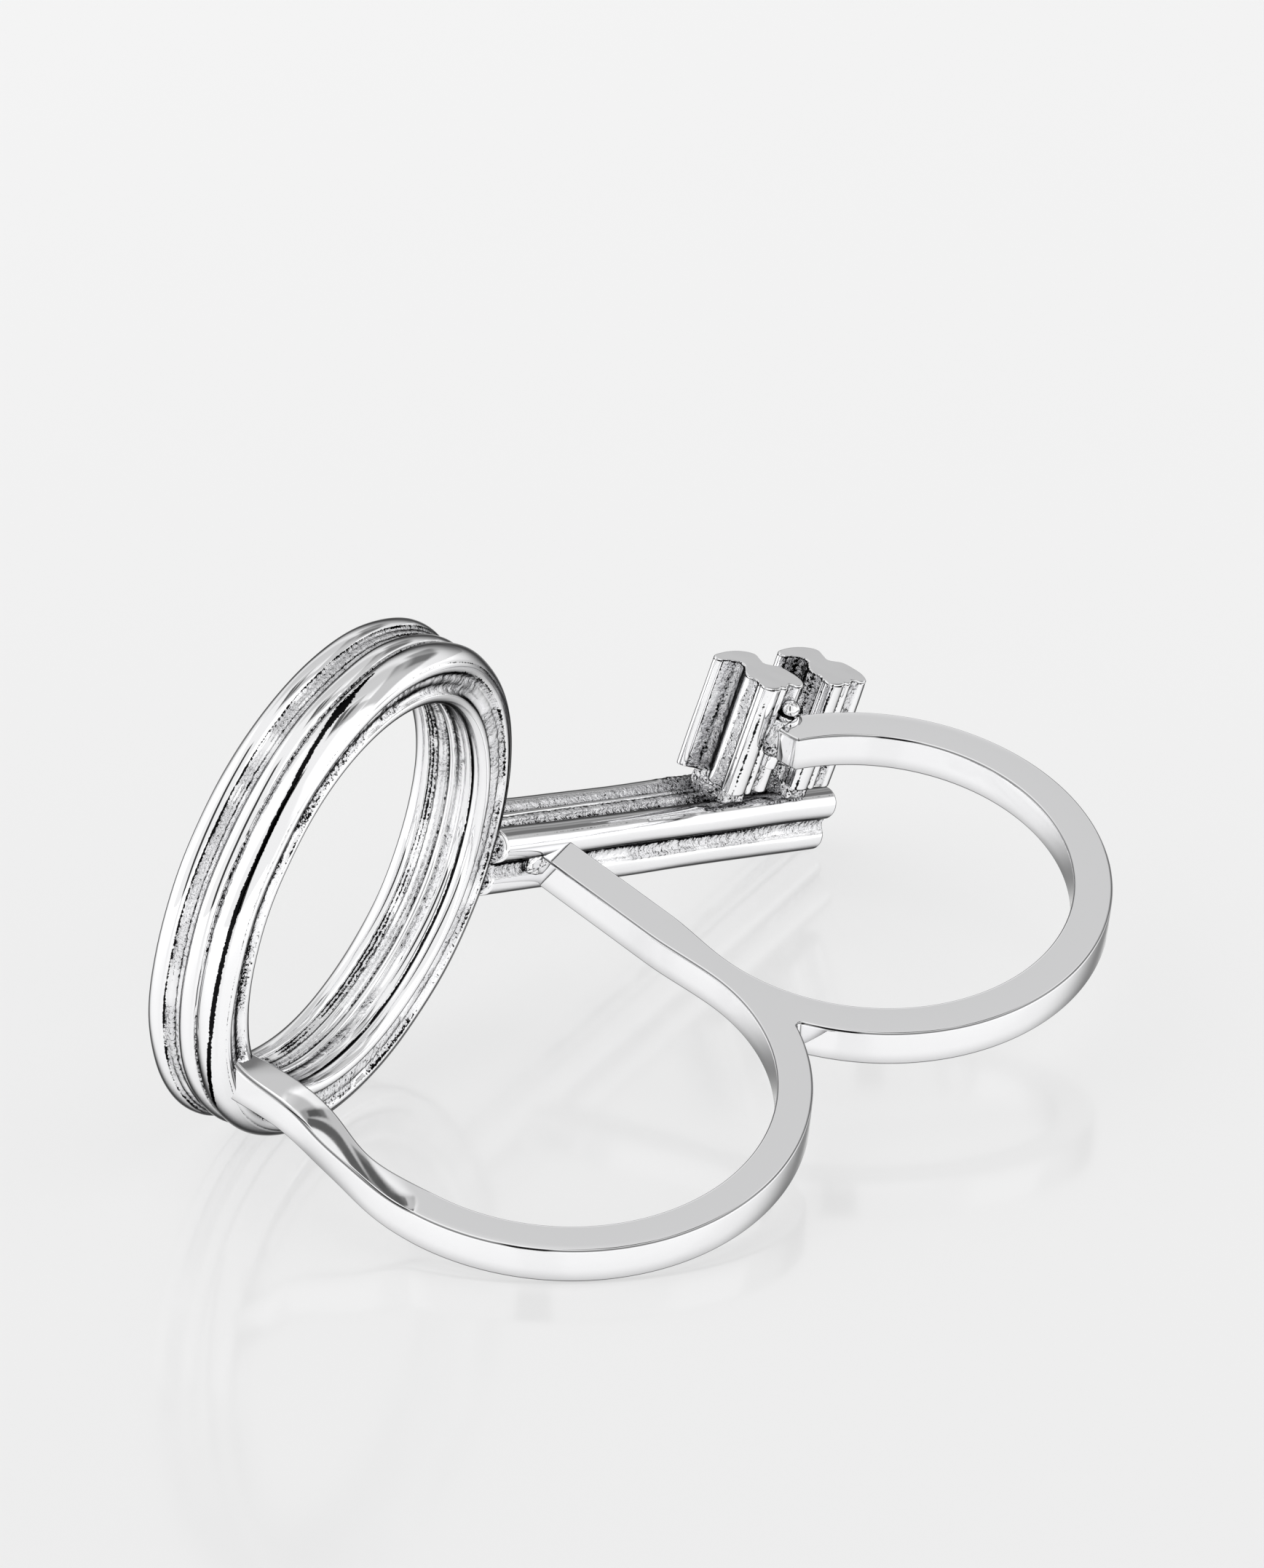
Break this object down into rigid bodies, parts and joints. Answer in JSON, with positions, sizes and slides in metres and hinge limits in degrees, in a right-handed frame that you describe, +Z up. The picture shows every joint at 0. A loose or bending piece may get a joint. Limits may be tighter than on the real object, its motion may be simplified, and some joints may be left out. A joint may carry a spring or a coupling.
{
  "type": "double ring",
  "caption": "Silver ring for two neighbouring fingers: two open finger loops of flat wire carry a ribbed key with a round bow and a split bit.",
  "frame": {"origin": "centre of the underside's box, on the flat surface that the ring rests on", "axes": "+Z up from the surface, -Y towards the loops and +Y towards the bit and the back of the bow as in the picture's view, +X to the right"},
  "size_m": [0.0394, 0.0398, 0.022],
  "materials": {
    "silver": "polished, with satin sandy grooves in the key"
  },
  "bodies": {
    "root": {"double_ring": "silver"}
  },
  "joints": []
}
